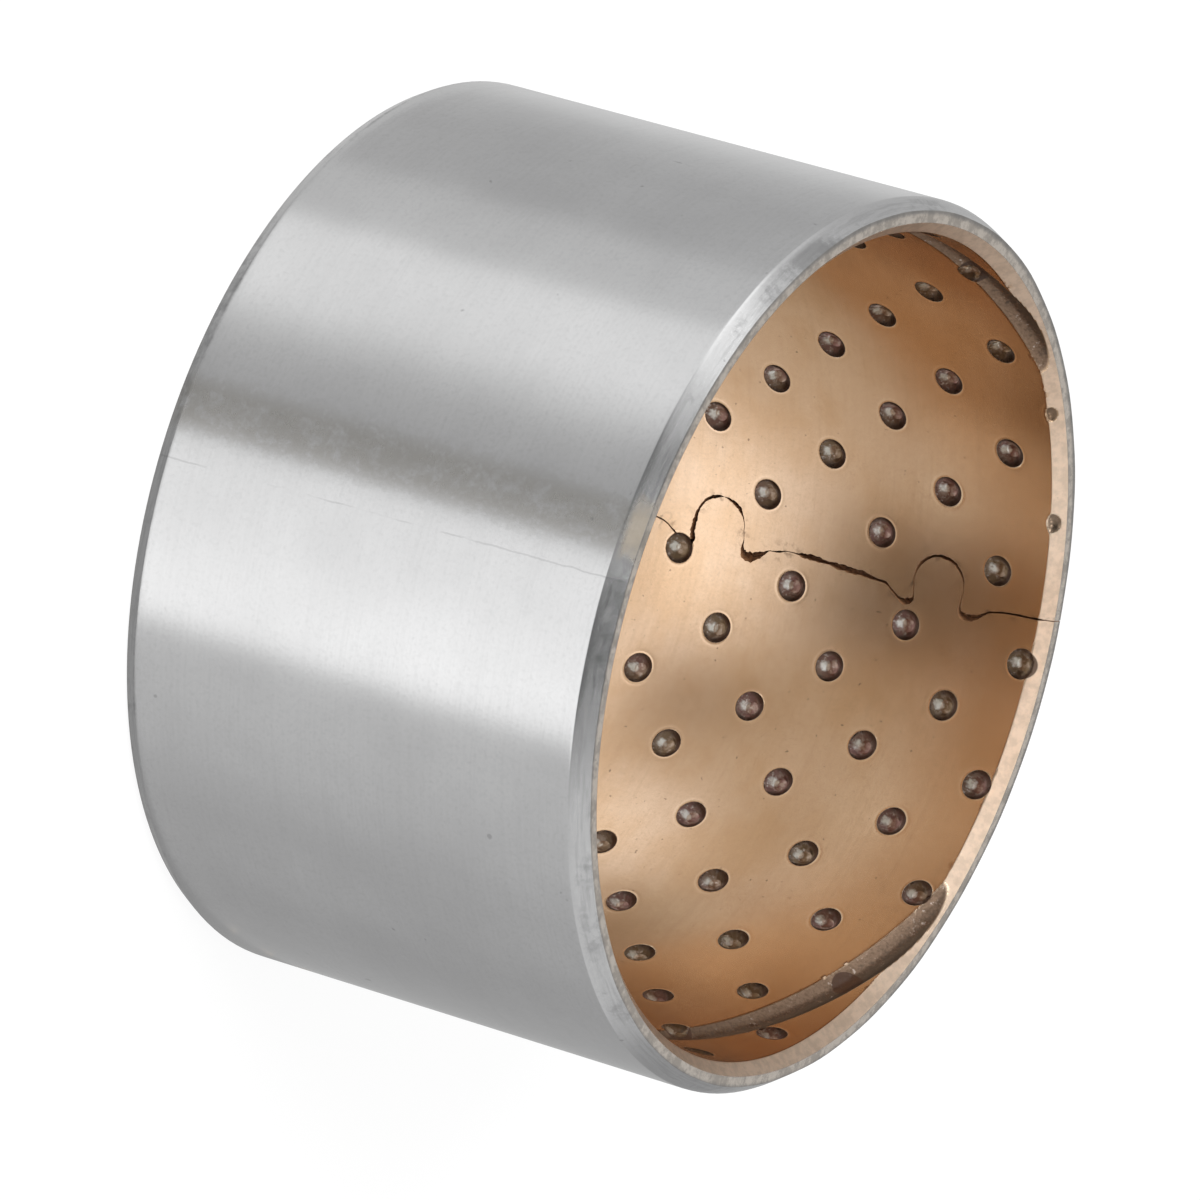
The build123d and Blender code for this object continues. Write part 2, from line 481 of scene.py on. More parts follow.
def thinned(points, apart):
    """One point from each square cell of a given size."""
    cells = np.round(points / apart).astype(np.int64)
    _, first = np.unique(cells, axis=0, return_index=True)
    return points[np.sort(first)]


def bond_points(b, loop):
    """Points where bronze and steel meet, which nothing shows."""
    return within_strip(even_grid(b, b.bond_radius, 3, 3, 1), loop, b.bond_radius, 0.3)


def lining_points(b, places):
    """Where the bronze needs points: rings round each pocket, lines along the groove, rows
    along the chamfers, a fine grid where two of these meet, and a plain one elsewhere."""
    pit = b.pocket.width / 2
    reach = np.array([0.0, 0.4, 0.66, 0.83, 0.93, 0.975, 1.0, 1.03, 1.09, 1.2, 1.38]) * pit
    around = np.radians(np.arange(0, 360, 15))
    circles = np.stack([np.outer(reach, np.cos(around)), np.outer(reach, np.sin(around))], -1)
    rings = places[:, None, None] + circles

    along = np.arange(0, b.turn, 0.5)
    aside = np.array([-1.5, -1.3, -1.21, -1.13, -0.95, -0.65, -0.32])
    aside = np.r_[aside, 0, -aside[::-1]] * (b.groove.width / 2.4)
    middle, slope = groove_middle(b, along)
    square = np.column_stack([-slope, np.ones_like(slope)]) / np.hypot(1, slope)[:, None]
    lines = np.column_stack([along, middle])[:, None] + aside[:, None] * square[:, None]

    edge = np.array([0.22, 0.45, 0.7, 0.8, 0.87, 0.94, 1.05, 1.3])
    rows = crossed(np.arange(0, b.turn, 0.6), np.r_[edge, b.length - edge])
    fine = even_grid(b, b.bore_radius, 0.11, 0.1, 0.06)
    plain = even_grid(b, b.bore_radius, 1.2, 1.1, 1.3)
    by_pocket, by_groove, by_end, apart = 1.45 * pit, 1.55, 1.35, 0.035
    kept = []
    for kind, points in enumerate((rings, lines, rows, fine, plain)):
        points = points.reshape(-1, 2)
        pocket = nearest_pocket(b, places, *points.T)[0] < by_pocket
        groove = np.abs(off_groove(b, *points.T)) < by_groove
        end = to_end(b, points[:, 1]) < by_end
        busy = (pocket.astype(int) + groove + end) > 1
        wanted = (~busy, ~busy, ~busy, busy, ~(pocket | groove | end))[kind]
        kept.append(thinned(points[wanted], apart))
    return np.vstack(kept)


# ---- meshes -----------------------------------------------------------------------------
def fill_outline(loop, points):
    """Triangles over the loop and its inner points, by Delaunay's rule; the first points
    are the loop's own."""
    flat = np.vstack([loop, points])
    made = delaunay_2d_cdt(flat.tolist(), [], [list(range(len(loop)))], 1, 1e-6)
    if len(made[0]) != len(flat):
        raise RuntimeError("two points of a sheet coincide")
    return flat, np.array(made[2])


def rolled(flat, radius, depth):
    """A flat sheet rolled up: the run over the radius is the angle, and the depth is added
    to the radius."""
    angle, away = flat[:, 0] / radius, radius + depth
    return np.column_stack([away * np.cos(angle), away * np.sin(angle), flat[:, 1]])


def level_sheet(run, height):
    """The depth of a sheet without any relief."""
    return 0 * run


def mesh_piece(name, points, faces, normals=None, slots=0):
    """A mesh from whole arrays: points in millimetres, faces, a normal for each corner
    (zero leaves it to Blender) and the material slot of each face."""
    mesh = bpy.data.meshes.new(name)
    mesh.from_pydata((points * MM).tolist(), [], [f.tolist() for f in faces])
    slots = np.broadcast_to(slots, len(faces)).astype(np.int32)
    mesh.polygons.foreach_set("material_index", slots)
    mesh.polygons.foreach_set("use_smooth", np.ones(len(faces), bool))
    mesh.update()
    if normals is not None:
        mesh.normals_split_custom_set(normals.tolist())
    piece = bpy.data.objects.new(name, mesh)
    bpy.context.scene.collection.objects.link(piece)
    return piece


def lattice(rows, columns, closed=True):
    """The quads between the rows of a grid of points; a closed one joins the last point of
    each row to its first."""
    row, column = crossed(np.arange(rows - 1), np.arange(columns - (not closed))).reshape(-1, 2).T
    here, beside = row * columns + column, row * columns + (column + 1) % columns
    return np.column_stack([here, beside, beside + columns, here + columns])


def ring_points(reach, turn, height):
    """Points at each radius and each turn, all at one height."""
    grid = crossed(reach, turn).reshape(-1, 2)
    return rolled(np.column_stack([grid[:, 1], 0 * grid[:, 1] + height]), 1, grid[:, 0] - 1)


def fan(tip, first, count):
    """Triangles from one point to a ring of others, of which it takes each with the next."""
    ring = np.arange(count)
    return np.column_stack([tip + 0 * ring, first + ring, first + np.roll(ring, -1)])


def flat_normals(points, quads):
    """The normal of each quad, across its two diagonals, once for each corner."""
    a, b, c, d = (points[quads[:, k]] for k in range(4))
    normal = np.cross(c - a, d - b)
    length = np.linalg.norm(normal, axis=1)[:, None]
    return np.repeat(normal / np.maximum(length, 1e-12), 4, axis=0)


def sheet_normals(run, height, radius, depth, back=0.0):
    """The normals of a rolled sheet: the outward direction less the slope of its depth
    round and along the bush, taken from a little back to a little on."""
    angle, whole = run / radius, NUDGE + back
    by_run = (depth(run + NUDGE, height) - depth(run - back, height))[..., None] / whole
    by_height = (depth(run, height + NUDGE) - depth(run, height - back))[..., None] / whole
    out = np.stack([np.cos(angle), np.sin(angle), 0 * angle], -1)
    onwards = np.stack([-np.sin(angle), np.cos(angle), 0 * angle], -1)
    normal = out - by_run * onwards - by_height * (0, 0, 1)
    return normal / np.linalg.norm(normal, axis=-1)[..., None]


def strip_shell(name, outlines, fills, radii, depths, inner_slot=0):
    """A closed shell of the strip: an inner sheet with its own material slot, an outer one
    with the same outline, and the rim between them.  The inner sheet, laid flat, comes with
    the piece."""
    sheets, points, faces, normals = [], [], [], []
    for loop, fill, radius, depth, sign in zip(outlines, fills, radii, depths, (-1, 1)):
        flat, triangles = fill_outline(loop, fill)
        triangles = triangles[:, ::sign]
        normal = sign * sheet_normals(*flat.T, radius, depth)
        sheets.append(flat)
        points.append(rolled(flat, radius, depth(*flat.T)))
        normals.append(normal[triangles.ravel()])
        faces.append(triangles)
    over = len(points[0])
    here = np.arange(len(outlines[0]))
    after = np.roll(here, -1)
    rim = np.column_stack([here, after, after + over, here + over])
    points = np.vstack(points)
    normals.append(flat_normals(points, rim))
    slots = [np.full(len(faces[0]), inner_slot), np.zeros(len(faces[1])), rim_slot(points, rim)]
    piece = mesh_piece(name, points, [*faces[0], *(faces[1] + over), *rim],
                       np.vstack(normals), np.concatenate(slots))
    return piece, sheets[0]


def add_mark(piece, name, values):
    """Keep a number or a colour at each point of a piece for its finish to read."""
    kind, key = ("FLOAT", "value") if values.ndim == 1 else ("FLOAT_COLOR", "color")
    mark = piece.data.attributes.new(name, kind, "POINT")
    mark.data.foreach_set(key, np.ascontiguousarray(values, np.float32).ravel())


def rim_slot(points, quads):
    """1 for the quads that stand in the joint, 0 for those on an end face."""
    heights, edge = points[quads, 2], 1e-6
    low, high = points[:, 2].min(), points[:, 2].max()
    on_end = (heights < low + edge).all(1) | (heights > high - edge).all(1)
    return ~on_end


def dress(piece, node, slot, *materials):
    """Give a piece its finishes and let it stand for its solid."""
    for material in materials:
        piece.data.materials.append(material)
    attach(piece, "root")
    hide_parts(node)


# ---- node recipes -----------------------------------------------------------------------
def by_node(operation, turned=False):
    """A method of Term that adds a Math node; a turned one swaps the two values."""
    def method(self, *others):
        values = (*others, self) if turned else (self, *others)
        node = self.recipe.add("ShaderNodeMath", {"operation": operation}, dict(enumerate(values)))
        return Term(self.recipe, node.outputs[0])
    return method


class Term:
    """A socket that can be reckoned with."""

    def __init__(self, recipe, socket):
        self.recipe, self.socket = recipe, socket

    __add__ = __radd__ = by_node("ADD")
    __mul__ = __rmul__ = by_node("MULTIPLY")
    __sub__, __rsub__ = by_node("SUBTRACT"), by_node("SUBTRACT", True)
    __pow__, size, larger = by_node("POWER"), by_node("ABSOLUTE"), by_node("MAXIMUM")

    def ramp(self, low, high):
        """0 below low, 1 above high, and a smooth step between; low may be the higher."""
        return self.recipe.get("ShaderNodeMapRange", 0, {"interpolation_type": "SMOOTHSTEP"},
                               {0: self, 1: low, 2: high, 3: 0.0, 4: 1.0})


class Recipe:
    """The nodes of a material or of the world."""

    def __init__(self, owner):
        owner.use_nodes = True
        self.owner, self.tree = owner, owner.node_tree
        self.tree.nodes.clear()

    def add(self, kind, settings, sockets):
        """A node: its settings first, then the values or links of its sockets."""
        node = self.tree.nodes.new(kind)
        for key, value in settings.items():
            setattr(node, key, value)
        for key, value in sockets.items():
            if isinstance(value, Term):
                self.tree.links.new(value.socket, node.inputs[key])
            else:
                node.inputs[key].default_value = value
        return node

    def get(self, kind, output, settings=None, sockets=None):
        """One output of a new node."""
        return Term(self, self.add(kind, settings or {}, sockets or {}).outputs[output])

    def mark(self, name, output="Fac"):
        """What is kept at the points of the piece."""
        return self.get("ShaderNodeAttribute", output, {"attribute_name": name})

    def vector(self, x, y, z):
        return self.get("ShaderNodeCombineXYZ", 0, {}, {0: x, 1: y, 2: z})

    def noise(self, vector, scale, detail, rough=0.5):
        return self.get("ShaderNodeTexNoise", 0, {}, {
            "Vector": vector, "Scale": scale, "Detail": detail, "Roughness": rough})

    def mix(self, share, first, second):
        """Colours mixed: first where the share is 0, second where it is 1."""
        settings = {"data_type": "RGBA", "clamp_factor": True}
        return self.get("ShaderNodeMix", 2, settings, {0: share, 6: first, 7: second})

    def layers(self, tone, *layers):
        """A colour with others laid over it in turn, each by its own share."""
        for share, over in layers:
            tone = self.mix(share, tone, over)
        return tone

    def finish(self, kind, sockets, output="ShaderNodeOutputMaterial"):
        """Put a shader on the output, and return the material or world."""
        self.add(output, {}, {"Surface": self.get(kind, 0, {}, sockets)})
        return self.owner

    def polish(self, tone, metallic, rough, height, distance):
        """Finish with a plain shader whose bump is as high as the distance in millimetres
        where the height is 1."""
        bump = {"Strength": 1.0, "Distance": distance * MM, "Height": height}
        return self.finish("ShaderNodeBsdfPrincipled", {
            "Base Color": tone, "Metallic": metallic, "Roughness": rough,
            "Normal": self.get("ShaderNodeBump", 0, {}, bump)})


def begin(name):
    """A new material's recipe, then its place in millimetres, the radius, and the place
    as one vector."""
    n = Recipe(bpy.data.materials.new(name))
    split = n.add("ShaderNodeSeparateXYZ", {}, {0: n.get("ShaderNodeTexCoord", "Object")})
    x, y, z = (Term(n, split.outputs[k]) * 1000.0 for k in range(3))
    return n, x, y, z, (x * x + y * y) ** 0.5, n.vector(x, y, z)


def across(x, y, degrees):
    """Signed distance from the line along the bush at an angle: the part of the place that
    is square to that direction.  The far side is taken as far away."""
    turn = np.radians(degrees)
    aside = y * float(np.cos(turn)) - x * float(np.sin(turn))
    ahead = x * float(np.cos(turn)) + y * float(np.sin(turn))
    return aside + ahead.ramp(0.0, -1.0) * 100.0


def colour(name, gain=1.0):
    """One of the finish colours as four numbers."""
    chosen = getattr(bpy.context.scene.bush_colours, name)
    return (*(min(1.0, c * gain) for c in chosen), 1.0)


def steel_finish():
    """Ground steel: a satin grain, faint rings and clouds, a smeared strip along it, a few
    specks and scratches, and stained, mottled end faces and chamfers, with painted shade
    darkening the end faces towards their outer edge."""
    n, x, y, z, r, here = begin("ground_steel")
    rings = n.noise(n.vector(x * 0.05, y * 0.05, (z - r) * 5.0), 1.0, 4.0, 0.7)
    cloud = n.noise(n.vector(x * 0.1, y * 0.1, z * 0.1), 1.0, 4.0, 0.6)
    grain = n.noise(here, 3.2, 3.0, 0.65)
    blotch = n.noise(here, 0.9, 4.0, 0.7)
    speck = n.noise(here, 0.9, 1.0).ramp(0.78, 0.82)
    aside = across(x, y, 161.0)
    smear = (aside.size() + (blotch - 0.5) * 3.0).ramp(2.6, 1.0) * blotch.ramp(0.2, 0.6)
    scratch = (across(x, y, 168.4) + z * 0.012 + (blotch - 0.5) * 0.3).size()
    scratch = scratch.ramp(0.09, 0.03) * cloud.ramp(0.42, 0.5)
    end = (z - 19.25).size()
    cut = (end + (r - 32.5) * 0.5).ramp(18.0, 18.3)
    streak = n.noise(n.vector(x * 0.3, y * 0.3, (end - r) * 3.0), 1.0, 3.0, 0.6)
    bronzed = cut * z.ramp(30.0, 36.0) * (aside.size() + blotch * 3.0).ramp(4.4, 2.2)
    stained = n.layers(
        colour("steel_land"), (blotch.ramp(0.4, 0.62), colour("steel_land", 0.66)),
        # Painted shade: the end face darkens towards its outer edge.
        ((r + grain * 0.3).ramp(31.5, 31.85) * 0.7, colour("steel", 0.3)))
    tone = n.layers(
        colour("steel", 0.96), (cloud.ramp(0.3, 0.7), colour("steel", 1.04)),
        (rings.ramp(0.4, 0.75) * 0.2, colour("steel", 0.84)),
        (grain.ramp(0.45, 0.75) * 0.3, colour("steel", 0.8)),
        (smear * 0.7, colour("steel_smear")),
        (scratch * 0.25, colour("steel", 0.35)),
        (speck * 0.4, colour("steel", 0.4)),
        (cut * streak.ramp(0.42, 0.68) * 0.28, colour("steel", 0.5)),
        (cut * (blotch * 0.5 + cloud).ramp(0.74, 0.95) * 0.6, colour("steel", 0.4)),
        (bronzed * 0.5, colour("bronze_smear")),
        (end.ramp(19.2, 19.24), stained))
    rough = 0.13 + rings * 0.05 + cloud * 0.04 + grain * 0.03 + smear * 0.08 + cut * 0.06
    return n.polish(tone, 1.0, rough, rings * 0.2 + grain * 0.4 + cut * streak, 0.006)


def bronze_finish():
    """Bored bronze: a faint grain and boring lines, a few brown specks, paler where it is
    rubbed and on the chamfers, smudged beside the joint, with a painted highlight halo and
    painted shade at the mouth of each pocket, and patches of painted light.  The groove has
    painted shade on its upper flank and is paler, with painted glints, on its lower one."""
    n, x, y, z, r, here = begin("bored_bronze")
    lines = n.noise(n.vector(x * 0.1, y * 0.1, (z + r) * 3.0), 1.0, 3.0, 0.6)
    cloud = n.noise(n.vector(x * 0.13, y * 0.13, z * 0.17), 1.0, 4.0, 0.6)
    grain = n.noise(here, 4.5, 3.0, 0.65)
    blotch = n.noise(here, 1.4, 3.0, 0.6)
    fleck = n.noise(here, 2.6, 1.0).ramp(0.75, 0.8)
    pocket, groove, joint, chamfer = (n.mark(k) for k in ("pocket", "groove", "joint", "chamfer"))
    # Painted highlight: a paler halo just outside each filled pocket.
    ring = pocket.ramp(1.03, 1.1) * pocket.ramp(1.35, 1.16)
    # Painted shade: the mouth of each filled pocket darkens in the residue colour and is less
    # metallic.
    edge = pocket.ramp(1.05, 0.98)
    stain = joint * blotch.ramp(0.5, 0.7)
    cut = n.mix(blotch.ramp(0.35, 0.65), colour("bronze_cut", 0.85), colour("bronze_cut", 1.1))
    pit = n.mix(blotch.ramp(0.4, 0.6), colour("groove_grey", 0.6), colour("groove_stain_and_shade"))
    flank = n.mix(grain.ramp(0.3, 0.55), colour("groove_grey", 0.3), colour("groove_stain_and_shade", 0.5))
    # Painted shade: darkens the groove's upper flank and makes it less metallic.
    dark = (n.mark("flank") + (blotch - 0.5) * 1.6 + (grain - 0.5)).ramp(-0.6, 0.05)
    deep = n.layers(
        colour("groove_grey"), (grain.ramp(0.4, 0.7) * 0.6, colour("groove_stain_and_shade")),
        # Painted glints, left on the groove's lower flank.
        (blotch.ramp(0.42, 0.3) * grain.ramp(0.5, 0.35), colour("painted_glint", 0.8)),
        (dark * 0.95, flank))
    tone = n.layers(
        colour("bronze"), (cloud.ramp(0.3, 0.7), colour("bronze_rub")),
        # Painted light: the paler patches.
        (n.mark("pale") * 0.9, colour("bronze_pale")),
        (lines.ramp(0.45, 0.8) * 0.14, colour("bronze", 0.75)),
        (grain.ramp(0.5, 0.8) * 0.22, colour("bronze", 0.62)),
        (grain.ramp(0.42, 0.25) * 0.2, colour("bronze_rub", 1.12)),
        (fleck * 0.55, colour("groove_stain_and_shade")),
        (blotch.ramp(0.3, 0.7) * 0.1, colour("bronze", 0.8)),
        (chamfer * 0.75, cut),
        # Painted highlight: the halo round the pockets.
        (ring * 0.25, colour("bronze_rub", 1.15)),
        (n.mark("pit") * 0.85, pit),
        (groove * 0.95, deep),
        # A real oil stain beside the joint, and painted shade at the pockets' mouths.
        ((stain * 0.6).larger(edge * 0.9), colour("residue")))
    rough = 0.17 + lines * 0.04 + grain * 0.06 + groove * 0.16 + chamfer * 0.2
    height = lines * 0.1 + grain * 0.1 + (groove + chamfer * 0.3) * blotch * 5.0
    return n.polish(tone, 1.0 - groove * dark * 0.6 - edge * 0.6, rough, height, 0.01)


def graphite_finish():
    """Graphite paste in the dents: browner in some than in others, with a painted highlight
    and painted glints towards the lower end, and painted shade, dark as old oil, at the rim
    and towards the upper end."""
    n, x, y, z, r, here = begin("pressed_graphite")
    grain = n.noise(here, 2.2, 2.5, 0.6)
    fine = n.noise(here, 4.0, 2.0, 0.6)
    patch = n.noise(here, 0.13, 1.0)
    share, aside = n.mark("share"), n.mark("aside")
    # Painted highlight: a soft patch a little towards the lower end of each dent.
    painted_highlight_spot = (share * share + aside + 0.25 + (grain - 0.5) * 0.4).ramp(0.16, 0.0)
    # Painted glints: grains, more of them towards the lower end.
    painted_glint_mask = fine.ramp(0.56, 0.68) * (grain - aside * 0.3).ramp(0.5, 0.7)
    # Painted shade, dark as old oil, at the rim and towards the upper end; it also lowers the metal.
    oil = (share + aside * 0.32 + (grain - 0.5) * 0.7).ramp(0.56, 0.94)
    tone = n.layers(
        colour("graphite"), (patch.ramp(0.42, 0.6), colour("graphite_warm")),
        (grain.ramp(0.44, 0.66) * 0.5, colour("graphite_gleam")),
        (painted_highlight_spot * 0.85, colour("painted_glint", 1.15)),
        (painted_glint_mask * 0.6, colour("painted_glint")),
        (oil * 0.92, colour("residue")))
    return n.polish(tone, 0.9 - oil * 0.5, 0.28 + grain * 0.1, grain + fine * 0.3, 0.06)


def residue_finish():
    """Dried oil in the joint."""
    n, x, y, z, r, here = begin("joint_residue")
    grain = n.noise(here, 3.0, 3.0)
    tone = n.mix(grain, colour("joint_oil", 0.6), colour("joint_oil", 1.4))
    return n.polish(tone, 0.0, 0.6 + grain * 0.2, grain, 0.05)


def steel_edge_finish():
    """The steel in the joint and behind its gap, dull and brown with dried oil."""
    n, x, y, z, r, here = begin("stained_steel")
    grain = n.noise(n.vector(x * 0.6, y * 0.6, z * 3.0), 1.0, 3.0)
    tone = n.mix(grain.ramp(0.35, 0.65), colour("joint_oil", 0.7), colour("joint_oil", 1.4))
    return n.polish(tone, 0.1, 0.6 + grain * 0.2, grain, 0.03)


# ---- the light --------------------------------------------------------------------------
CAMERA_PLACE = (-0.717318, 0.147074, 0.434576)

# Cards by azimuth in degrees: start, softness there, end, softness there, level added.
WALL_CARDS = [
    (160.5, 3, 208, 4, 0.75), (188, 25, 210, 4, 0.20), (208, 4, 244, 40, 0.23),
    (240, 30, 280, 30, 0.07), (60, 40, 144, 10, 0.10), (97, 3, 128, 22, 0.53),
    (76, 8, 97, 3, 0.16), (340, 25, 390, 40, 0.25), (34, 16, 64, 20, 0.06),
]
CHAMFER_CARDS = [
    (218, 26, 288, 30, 0.24), (168, 14, 202, 14, -0.32), (84, 12, 112, 10, 0.95),
    (112, 10, 124, 10, 0.28), (128, 8, 152, 10, -0.27), (62, 16, 84, 10, 0.22),
    (0, 20, 62, 16, 0.10), (290, 30, 330, 20, -0.12),
]
UPPER_CARDS = [(95, 30, 160, 30, 0.30)]
# Round cards: azimuth, elevation, half their width, softness, level added.
ROUND_CARDS = [
    (348, 32, 14, 8, 0.33), (194, 52, 3, 3, 11.0), (234, 47, 3, 3, 6.0), (262, 41, 3, 3, 3.5),
    (150, 53, 3, 3, 11.0), (109, 48, 3, 3, 9.5), (74, 39, 3, 3, 3.0),
]

# Soft patches of light on the bore: angle and height, half width in each, level added.
BORE_PATCHES = [
    (-0.5, 5, 17.5, 14, 0.70), (-45.5, 8, 8.5, 9.5, 0.72), (-3, 31, 13, 9.5, -0.27),
    (0, 25, 9, 6, -0.42), (-9, 20, 8, 5, -0.24), (-22, 15, 7, 5, -0.24),
    (1, 7, 12, 7, 0.42), (-22.5, 6, 5, 7, -0.38), (-14, 5, 6, 5, 0.42), (-29, 18, 5, 5, 0.1),
    (30, 14, 16, 9, 0.10), (20, 33, 9, 7, 0.15), (-52, 24, 9, 6, 0.12),
]


def soft_step(value):
    """0 below 0, 1 above 1 and three times the square less twice the cube between."""
    value = np.clip(value, 0, 1)
    return value * value * (3 - 2 * value)


def cards_at(azimuth, cards):
    """The sum of a row of cards: each rises over its first softness and falls over its
    second."""
    total = np.zeros(np.shape(azimuth))
    for start, rise, end, fall, level in cards:
        aside = (azimuth - (start + end) / 2 + 180) % 360 - 180
        half = (end - start) / 2
        total = total + level * soft_step((aside + half) / rise + 0.5) * soft_step(
            (half - aside) / fall + 0.5)
    return total


def dome_level(azimuth, elevation):
    """Brightness of the dome: one row of cards low down, one in the middle that the outer
    chamfer mirrors, and a wide glow above, brightest behind the camera."""
    behind = -np.cos(np.radians(azimuth))
    low = 0.46 + cards_at(azimuth, WALL_CARDS)
    middle = 0.50 + cards_at(azimuth, CHAMFER_CARDS)
    high = 0.70 + 0.32 * behind + cards_at(azimuth, UPPER_CARDS)
    level = low + (middle - low) * soft_step((elevation + 9 - 18 * behind) / 6)
    level = level + (high - level) * soft_step((elevation - 19 - 24 * behind) / 10)
    lift = np.radians(elevation)
    for at, up, half, soft, more in ROUND_CARDS:
        up = np.radians(up)
        near = np.sin(lift) * np.sin(up) + np.cos(lift) * np.cos(up) * np.cos(
            np.radians(azimuth - at))
        away = np.degrees(np.arccos(np.clip(near, -1, 1)))
        level = level + more * soft_step((half - away) / soft + 0.5)
    return level


def bore_level(angle, height):
    """Brightness of the tray, as it shows on the bore: darker towards the sides, with soft
    patches."""
    start, reach = np.where(angle < 0, 46, 12), np.where(angle < 0, 32, 62)
    level = 0.62 - 0.4 * soft_step((np.abs(angle) - start) / reach)
    return np.maximum(level + patches_at(angle, height, BORE_PATCHES), 0.05)


def bounced(level):
    """The colour of light that has met the bronze before: the darker, the warmer, on
    straight lines between three levels."""
    at = (0.2, 0.55, 1.15)
    green, blue = np.interp(level, at, (0.72, 0.89, 1.02)), np.interp(level, at, (0.5, 0.74, 1.06))
    return level[:, None] * np.column_stack([np.ones_like(level), green, blue])


# ---- operators --------------------------------------------------------------------------
class BUSH_OT_backing(bpy.types.Operator):
    """Make the steel backing: the rolled strip's outer layer, with its outside chamfers"""

    bl_idname = "bush.backing"
    bl_label = "Steel backing"

    def execute(self, context):
        b = bush()
        radii = (b.bond_radius, b.outer_radius)
        edges = joint_edges(b, b.joint.steel_gap)
        loops = [strip_outline(b, edges, radius, 1.0) for radius in radii]

        def outside(run, height):
            """The outside falls away at each end along a cone; the upper cone runs out of
            true by a cosine of the angle, with a few small waves."""
            angle = run / b.outer_radius
            wobble = 1 + 0.15 * np.cos(angle - np.radians(221)) + 0.035 * (
                np.sin(9 * angle + 1) + np.sin(23 * angle) * np.cos(7 * angle))
            upper = ((height - b.length) / b.lead_axial + 1) * b.lead_radial * wobble
            lower = (1 - height / b.tail_axial) * b.tail_radial
            return -rounded(upper, 0.03) - rounded(lower, 0.03)

        ends = np.array([0.3, 0.6, 0.8, 0.9, 1.0, 1.15, 1.3, 1.45, 1.65])
        rows = crossed(np.arange(0, 2 * np.pi * b.outer_radius, 1.2),
                       np.r_[ends, b.length - ends])
        grid = even_grid(b, b.outer_radius, 1.2, 1.8, 1.8)
        points = thinned(np.vstack([rows.reshape(-1, 2), grid]), 0.05)
        outer = within_strip(points, loops[1], b.outer_radius, 0.1)
        piece, _ = strip_shell("steel_shell", loops, (bond_points(b, loops[0]), outer), radii,
                               (level_sheet, outside), inner_slot=1)
        dress(piece, "steel_backing", "steel", steel_finish(), steel_edge_finish())
        return {"FINISHED"}


class BUSH_OT_lining(bpy.types.Operator):
    """Make the bronze lining: the strip's inner layer, with pockets, groove and joint"""

    bl_idname = "bush.lining"
    bl_label = "Bronze lining"

    def execute(self, context):
        b = bush()
        places = pocket_places(b)
        radii = (b.bore_radius, b.bond_radius)
        edges = joint_edges(b)
        loops = [strip_outline(b, edges, radius, 0.6) for radius in radii]
        bore = within_strip(lining_points(b, places), loops[0], b.bore_radius, 0.05)
        piece, flat = strip_shell(
            "bronze_liner", loops, (bore, bond_points(b, loops[1])), radii,
            (lambda run, height: bore_depth(b, places, run, height), level_sheet))
        for name, values in self.marks(b, places, *flat.T).items():
            add_mark(piece, name, np.r_[values, np.zeros(len(piece.data.vertices) - len(flat))])
        dress(piece, "bronze_lining", "bronze", bronze_finish(), residue_finish())
        return {"FINISHED"}

    @staticmethod
    def marks(b, places, run, height):
        """What the finish has to know: how far off the next filled pocket is, in its own
        radii, where a point lies across the groove, and its shares in the patches of painted light,
        the empty pits, the groove, the chamfers and the joint."""
        distance, which = nearest_pocket(b, places, run, height)
        filled = is_filled(b, places)[which]
        dent, groove = ball_dent(b, distance), groove_depth(b, run, height)
        cut = chamfer_depth(b, height)
        half_turn, by_joint, far, stained = b.turn / 2, 3, 9.0, 0.17
        aside = (run + half_turn) % b.turn - half_turn
        near = np.abs((run + by_joint) % b.turn - by_joint) < 2 * by_joint
        from_joint = np.full(run.shape, far)
        from_joint[near] = off_line(
            np.column_stack([aside, height])[near], smooth_line(joint_middle(b), 2)[:, :2])
        return {
            "pocket": np.where(filled, np.minimum(distance / (b.pocket.width / 2), 3), 3),
            # The share in the patches of painted light.
            "pale": patches_at(np.degrees(aside / b.bore_radius), height, PAINTED_LIGHT_PATCHES),
            "pit": np.clip((dent - np.maximum(cut, 0)) / FADE, 0, 1) * ~filled,
            "flank": np.clip(off_groove(b, run, height) / (b.groove.width / 2), -1, 1),
            "groove": np.clip(np.minimum(groove, groove - cut) / FADE, 0, 1),
            "chamfer": np.clip(cut / 0.06, 0, 1) * (cut > groove) * (cut > rounded(dent, 0.01)),
            "joint": np.exp(-(from_joint / stained) ** 2),
        }


